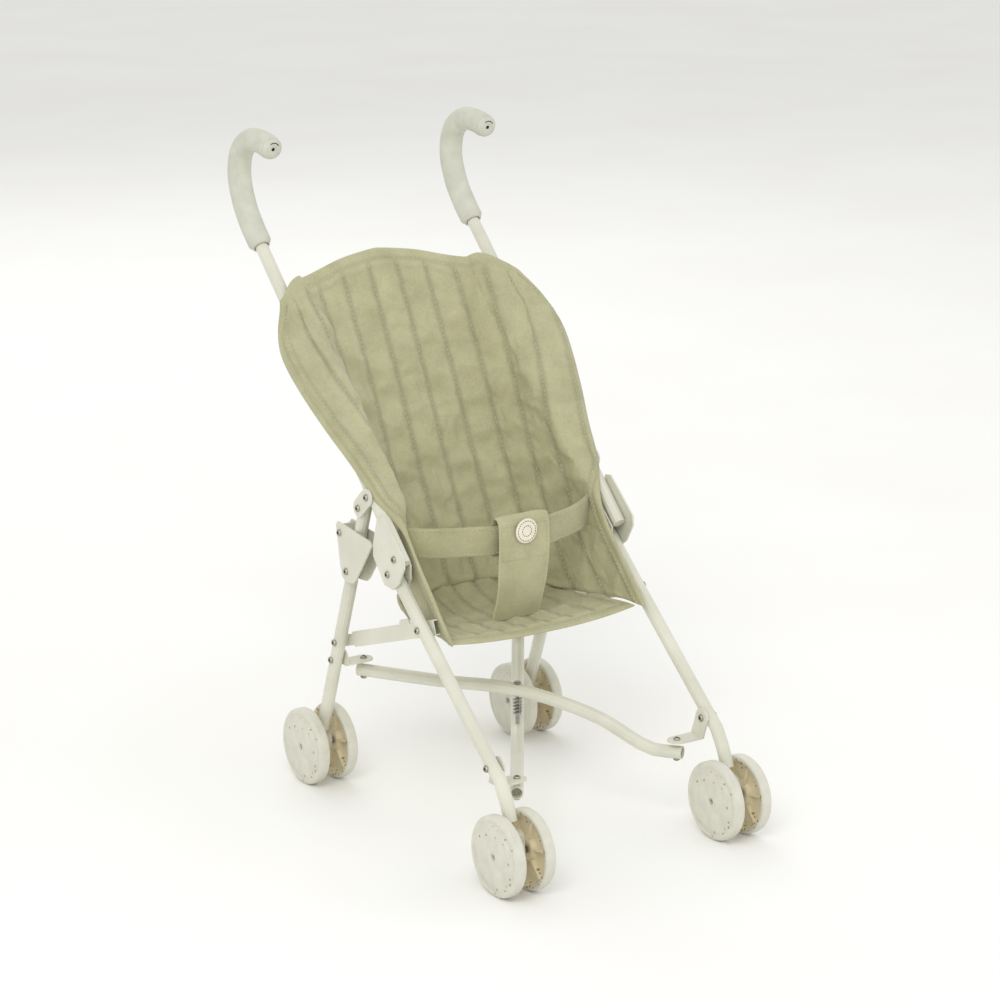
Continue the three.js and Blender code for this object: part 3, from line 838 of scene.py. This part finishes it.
# a quilted shell from a grid of surface points: crowned channels between sewn seams, flat hems
# it gives the piece, the grid of its near face and the pinned points
def quiltedShell(name, surface, spec, hemSides, material):
    rows, columns = len(surface) - 1, len(surface[0]) - 1
    normals = gridNormals(surface)
    step, shape = spec["channelColumns"], quiltShape
    seamAt = lambda c: abs(((c - columns // 2 + step // 2) % step + step) % step)
    near, far, paintedShades, pins = [], [], [], []
    down = [[0.0] * (columns + 1)]
    for above, line in zip(surface, surface[1:]):
        down.append([so + (b - a).length / mm for so, a, b in zip(down[-1], above, line)])
    for r in range(rows + 1):
        walk = [0.0]
        for a, b in zip(surface[r], surface[r][1:]):
            walk.append(walk[-1] + (b - a).length / mm)
        nearLine, farLine = [], []
        for c in range(columns + 1):
            toSeam = min(seamAt(c), step - seamAt(c)) / (step / 2)
            toTop, toLow = down[r][c], down[rows][c] - down[r][c]
            toSide = min(walk[c], walk[-1] - walk[c])
            hemReach = toSide
            if "top" in hemSides:
                hemReach = min(hemReach, toTop)
            if "low" in hemSides:
                hemReach = min(hemReach, toLow)
            inside = rise(spec["hem"], spec["hem"] + shape["hemSlope"], hemReach)
            edge = min(toTop, toLow, toSide)
            swell = math.sqrt(min(toSeam, 1)) * inside
            waver = noise.noise(Vector((c * 0.11, surface[r][c].z / 0.024, 2.0)))
            lift = spec["crown"] * swell * (1 + shape["waver"] * waver)
            lift += shape["hemLift"] * (1 - inside) * rise(0, 3, edge)
            fromSeam = (hemReach - spec["hem"] + shape["grooveIn"]) / shape["grooveWide"]
            hemGroove = shape["groove"] * math.exp(-(fromSeam**2))
            normal = normals[r][c]
            full = shape["edgeThin"] + (1 - shape["edgeThin"]) * rise(0, shape["edgeRound"], edge)
            half = spec["thick"] / 2 * full
            nearLine.append(surface[r][c] - normal * (half + lift - hemGroove) * mm)
            farLine.append(surface[r][c] + normal * (half + lift * shape["farShare"]) * mm)
            # painted seam shade: 1 on a sewn seam, falling off across the channel, plus painted shade in the
            # hem groove
            paintedShades.append(max(1 - toSeam * shape["seamShade"], 0) * inside + 0.8 * hemGroove / shape["groove"])
            pins.append(1.0 if toSeam < 0.08 or inside < 0.3 or edge < 2 else 0.04)
        near.append(nearLine)
        far.append(farLine)
    piece = paddedShell(name, near, far, [material])
    shade = piece.data.attributes.new("seamDepth", "FLOAT", "POINT")
    shade.data.foreach_set("value", paintedShades + paintedShades)
    return piece, near, normals, pins + pins


# cloth with a little pressure: the channels fill and pucker along the sewn seams
quilting = {"pressure": 3.2, "spare": -0.035, "frames": 20, "nearCap": 3.0, "farCap": 1.0}
quilting |= {"stitch": 4.2, "thread": 0.32}


def fillChannels(piece, pins):
    group = piece.vertex_groups.new(name="sewn")
    for i, weight in enumerate(pins):
        group.add([i], weight, "REPLACE")
    before = [v.co.copy() for v in piece.data.vertices]
    cloth = piece.modifiers.new("cloth", "CLOTH")
    settings = cloth.settings
    settings.quality = 5
    settings.mass = 0.12
    settings.tension_stiffness = 12
    settings.compression_stiffness = 12
    settings.bending_stiffness = 0.25
    settings.use_pressure = True
    settings.uniform_pressure_force = quilting["pressure"]
    settings.shrink_min = quilting["spare"]
    settings.vertex_group_mass = "sewn"
    settings.pin_stiffness = 8
    settings.effector_weights.gravity = 0
    cloth.collision_settings.use_collision = False
    cloth.point_cache.frame_start = 1
    cloth.point_cache.frame_end = quilting["frames"]
    scene = bpy.context.scene
    for step in range(1, quilting["frames"] + 1):
        scene.frame_set(step)
    ready = piece.evaluated_get(bpy.context.evaluated_depsgraph_get())
    after = [v.co.copy() for v in ready.data.vertices]
    scene.frame_set(1)
    piece.modifiers.remove(cloth)
    piece.vertex_groups.remove(group)
    half = len(before) // 2
    for i, (old, new) in enumerate(zip(before, after)):
        move = new - old
        cap = quilting["nearCap" if i < half else "farCap"] * mm
        if move.length > cap:
            move = move * (cap / move.length)
        piece.data.vertices[i].co = old + move
    piece.data.update()
    for polygon in piece.data.polygons:
        polygon.use_smooth = True


def subdivided(piece):
    modifier = addModifier(piece, "SUBSURF", levels=1, render_levels=1)
    ready = piece.evaluated_get(bpy.context.evaluated_depsgraph_get())
    finer = bpy.data.meshes.new_from_object(ready)
    piece.modifiers.remove(modifier)
    old = piece.data
    name = old.name
    piece.data = finer
    bpy.data.meshes.remove(old)
    finer.name = name


def softPiece(piece, body="left_frame"):
    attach(piece, body)
    if body == "left_frame":
        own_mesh(piece)
    return piece


# rows of stitches on a shell's near face: each sewn channel, and the hem
def seamRows(near, normals, spec, hemSides):
    rows, columns = len(near) - 1, len(near[0]) - 1
    step = spec["channelColumns"]
    found = []
    height = sum((near[r + 1][columns // 2] - near[r][columns // 2]).length for r in range(rows)) / mm
    hemRows = max(round(rows * (spec["hem"] - 1.5) / height), 1)
    sideColumns = 6
    lastRow = rows + 1 - (hemRows if "low" in hemSides else 1)
    for c in range(columns // 2 - (columns // 2 // step) * step - step // 2, columns + 1, step):
        if sideColumns < c < columns - sideColumns:
            rowSpan = range(hemRows + 1, lastRow)
            found.append(([near[r][c] for r in rowSpan], [-normals[r][c] for r in rowSpan]))
    across = range(sideColumns, columns - sideColumns + 1)
    for edge, r in (("top", hemRows), ("low", rows - hemRows)):
        if edge in hemSides:
            found.append(([near[r][c] for c in across], [-normals[r][c] for c in across]))
    for c in (sideColumns, columns - sideColumns):
        tall = range(hemRows, rows + 1)
        found.append(([near[r][c] for r in tall], [-normals[r][c] for r in tall]))
    return found


def makeSling():
    rows, columns = sling["rows"], sling["channels"] * sling["channelColumns"]
    ends = [slingColumn(c) for c in range(columns + 1)]
    surface = []
    for r in range(rows + 1):
        line = []
        for c, (top, low) in enumerate(ends):
            u = top + (low - top) * r / rows
            p = slingPoint(u, c)
            line.append(at(p.x, *fromTube(u, p.y)))
        surface.append(line)
    piece, near, normals, pins = quiltedShell("quilted_back", surface, sling, ("top",), finish["canvas"])
    fillChannels(piece, pins)
    subdivided(piece)
    sewn = seamRows(near, normals, sling, ("top",))
    seam = stitches("quilted_back_stitches", sewn, quilting["stitch"], finish["thread"], quilting["thread"])
    wide = pathLength(surface[rows // 2])
    tall = pathLength([line[columns // 2] for line in surface])
    return piece, seam, wide, tall


def makeSeat():
    rows, columns = seat["rows"], seat["channels"] * seat["channelColumns"]
    surface = []
    for r in range(rows + 1):
        line = []
        for c in range(columns + 1):
            t = 2 * c / columns - 1
            x = t * (seat["half"] - seat["rearNarrow"] * (1 - r / rows))
            # the rear edge follows the back's foot, and the front edge bows a little
            back = seat["back"] + seat["rearSweep"] * rise(0.72, 1.0, abs(t)) * abs(t) ** 3
            front = seat["front"] + seat["frontBow"] * (1 - t * t)
            f = back + (front - back) * r / rows
            line.append(at(x, f, seatHeight(x, f)))
        surface.append(line)
    piece, near, normals, pins = quiltedShell("quilted_seat", surface, seat, ("low",), finish["canvas"])
    fillChannels(piece, pins)
    subdivided(piece)
    sewn = seamRows(near, normals, seat, ("low",))
    seam = stitches("quilted_seat_stitches", sewn, quilting["stitch"], finish["thread"], quilting["thread"])
    wide = pathLength(surface[rows])
    deep = pathLength([line[columns // 2] for line in surface])
    return piece, seam, wide, deep


quiltedBack, backStitches, backWide, backTall = makeSling()
softPiece(quiltedBack)
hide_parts("seat_back", "left_side_panel", "right_side_panel")
softPiece(backStitches)
print("sling back sewn", round(backWide / mm), round(backTall / mm))

quiltedSeat, seatStitches, seatWide, seatDeep = makeSeat()
softPiece(quiltedSeat)
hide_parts("seat_base")
softPiece(seatStitches)
print("seat sewn", round(seatWide / mm), round(seatDeep / mm))

# waist belt: it runs from side to side, furthest forward in the middle
belt = {"wide": 25, "thick": 2.2, "z": 238, "end": 114, "crown": 147, "span": 92, "steps": 90}
belt |= {"seamOut": 1.25, "seamIn": 2.4}  # its stitches: off the face, and in from an edge


def makeBelt():
    points, ups = [], []
    for i in range(belt["steps"] + 1):
        t = 2 * i / belt["steps"] - 1
        f = belt["end"] + (belt["crown"] - belt["end"]) * (1 - abs(t) ** 2.2)
        sag = 2.2 * (1 - t * t) + 1.2 * noise.noise(Vector((t * 3, 1.0, 0.0)))
        points.append(at(belt["span"] * t, f, belt["z"] - sag))
        tilt = 0.12 * noise.noise(Vector((t * 2.4, 5.0, 0.0)))
        ups.append(Vector((0, -1, tilt)).normalized())
    section = strapSection(belt["wide"] * mm, belt["thick"] * mm)
    band = sweep("waist_belt_webbing", points, ups, section, [finish["binding"]])
    rows = []
    for edge in (-1, 1):
        off = Vector((0, -belt["seamOut"] * mm, edge * (belt["wide"] / 2 - belt["seamIn"]) * mm))
        row = [p + off for p in points]
        rows.append((row, ups))
    return band, stitches("waist_belt_stitches", rows, 3.6, finish["thread"], 0.34)


waistBelt, beltStitches = makeBelt()
softPiece(waistBelt)
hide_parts("waist_belt")
softPiece(beltStitches)

# crotch strap, with the sleeve that the belt runs through
strap = {"thick": 2.4, "rings": 70, "across": 24, "footShare": 0.93, "sleeve": 154.9}
# middle line as (f, z): up the front, over the belt and down behind it
strapRoute = [(140.5, 164), (146, 180), (151.2, 198), (153.2, 216), (153.8, 236), (153.2, 248), (151, 253.4)]
strapRoute += [(147, 254.6), (143.2, 252), (141.8, 246), (141.4, 238), (142.2, 226), (146, 220), (149.6, 217)]


def makeStrap():
    low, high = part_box("crotch_strap")
    rings, across = strap["rings"], strap["across"]
    points = evenly(curveThrough([at(0, f, z) for f, z in strapRoute], 90), rings)
    verts, faces = [], []
    halfWide = (high.x - low.x) / 2
    for i, point in enumerate(points):
        along = (points[min(i + 1, rings)] - points[max(i - 1, 0)]).normalized()
        normal = Vector((1, 0, 0)).cross(along).normalized()
        height = point.z / mm
        narrow = strap["footShare"] + (1 - strap["footShare"]) * rise(172, 218, height)
        for face in (1, -1):
            for c in range(across + 1):
                s = (2 * c / across - 1) * face
                edge = 1 - abs(s) ** 6
                bulge = 0.6 * noise.noise(Vector((s * 1.6, i * 0.09, 3.0)))
                off = normal * (face * strap["thick"] / 2 * edge + bulge) * mm
                verts.append(point + Vector((s * halfWide * narrow, 0, 0)) + off)
    ring = 2 * (across + 1)
    for i in range(rings):
        for k in range(ring):
            n = (k + 1) % ring
            faces.append((i * ring + k, i * ring + n, (i + 1) * ring + n, (i + 1) * ring + k))
    faces.append(tuple(range(ring))[::-1])
    faces.append(tuple(rings * ring + k for k in range(ring)))
    piece = newPiece("crotch_strap_webbing", verts, faces, [finish["canvas"]])
    edges, outward = [], [Vector((0, -1, 0))] * 5
    seamX = halfWide / mm - 3
    for x in (-seamX, seamX):
        edges.append(([at(x, strap["sleeve"], z) for z in (219, 227, 235, 242, 248)], outward))
    for z in (219.5, 249):
        edges.append(([at(x, strap["sleeve"], z) for x in (-22, -10, 0, 10, 22)], outward))
    return piece, stitches("crotch_strap_stitches", edges, 3.4, finish["thread"], 0.34)


crotchStrap, strapStitches = makeStrap()
softPiece(crotchStrap, "centre_strap")
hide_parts("crotch_strap")
softPiece(strapStitches, "centre_strap")

# round badge: a plain felt disc with two stitched rings
badge = {"radius": 10.5, "thick": 1.5, "rings": ((8.6, 60), (4.6, 36))}  # a ring's radius and steps


def makeBadge():
    low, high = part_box("round_badge")
    centre = (low + high) / 2
    r, t = badge["radius"], badge["thick"] / 2
    profile = [(0.02, t * 1.1), (r * 0.6, t * 1.08), (r * 0.9, t * 0.95), (r * 0.98, t * 0.5), (r, 0)]
    profile += [(r * 0.98, -t * 0.5), (r * 0.9, -t), (0.02, -t)]
    disc = turned("felt_badge", profile, 64, [finish["felt"]], closed=False)
    disc.rotation_euler = (0, 0, -math.pi / 2)
    disc.location = centre
    rows = []
    for size, steps in badge["rings"]:
        turn = [2 * math.pi * i / steps for i in range(steps + 1)]
        ring = [centre + Vector((size * mm * math.cos(a), -0.9 * mm, size * mm * math.sin(a))) for a in turn]
        rows.append((ring, [Vector((0, -1, 0))] * (steps + 1)))
    seam = stitches("felt_badge_stitches", rows, 2.2, finish["stitchBrown"], 0.3)
    return disc, seam


feltBadge, badgeStitches = makeBadge()
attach(feltBadge, "centre_strap")
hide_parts("round_badge")
softPiece(badgeStitches, "centre_strap")
print("straps and badge sewn")


def makeStudio():
    floor = newPiece("floor", [(-8, -8, 0), (8, -8, 0), (8, 8, 0), (-8, 8, 0)], [(0, 1, 2, 3)], [])
    material, tree, shader, place = newMaterial("paleSeamlessPaper")
    cloud = addNode(tree, "TexNoise", {"Scale": 3.0}, {0: place})
    tones = [(0.3, linear("#f6f5f2")), (0.7, linear("#f8f8f5"))]
    tint = addNode(tree, "ValToRGB", {"stops": tones}, {0: cloud.outputs["Fac"]})
    tree.links.new(tint.outputs["Color"], shader.inputs["Base Color"])
    shader.inputs["Roughness"].default_value = 0.9
    floor.data.materials.append(material)
    world = bpy.data.worlds.new("studio")
    world.use_nodes = True
    sky = world.node_tree.nodes["Background"]
    sky.inputs["Color"].default_value = linear("#ffffff")
    sky.inputs["Strength"].default_value = 0.8
    bpy.context.scene.world = world
    lamps = {
        "key": {"at": (-1.6, -1.6, 2.2), "size": 1.5, "power": 28},
        "fill": {"at": (2.2, -1.4, 1.5), "size": 2.0, "power": 7},
        "back": {"at": (0.6, 2.2, 2.0), "size": 1.8, "power": 14},
    }
    for name, lamp in lamps.items():
        data = bpy.data.lights.new(name, "AREA")
        data.energy = lamp["power"]
        data.size = lamp["size"]
        light = bpy.data.objects.new(name, data)
        light.location = lamp["at"]
        aim = Vector((0, 0, 0.25)) - light.location
        light.rotation_euler = aim.to_track_quat("-Z", "Y").to_euler()
        bpy.context.scene.collection.objects.link(light)
    bpy.context.scene.view_settings.view_transform = "Standard"


makeStudio()
print("studio lit")
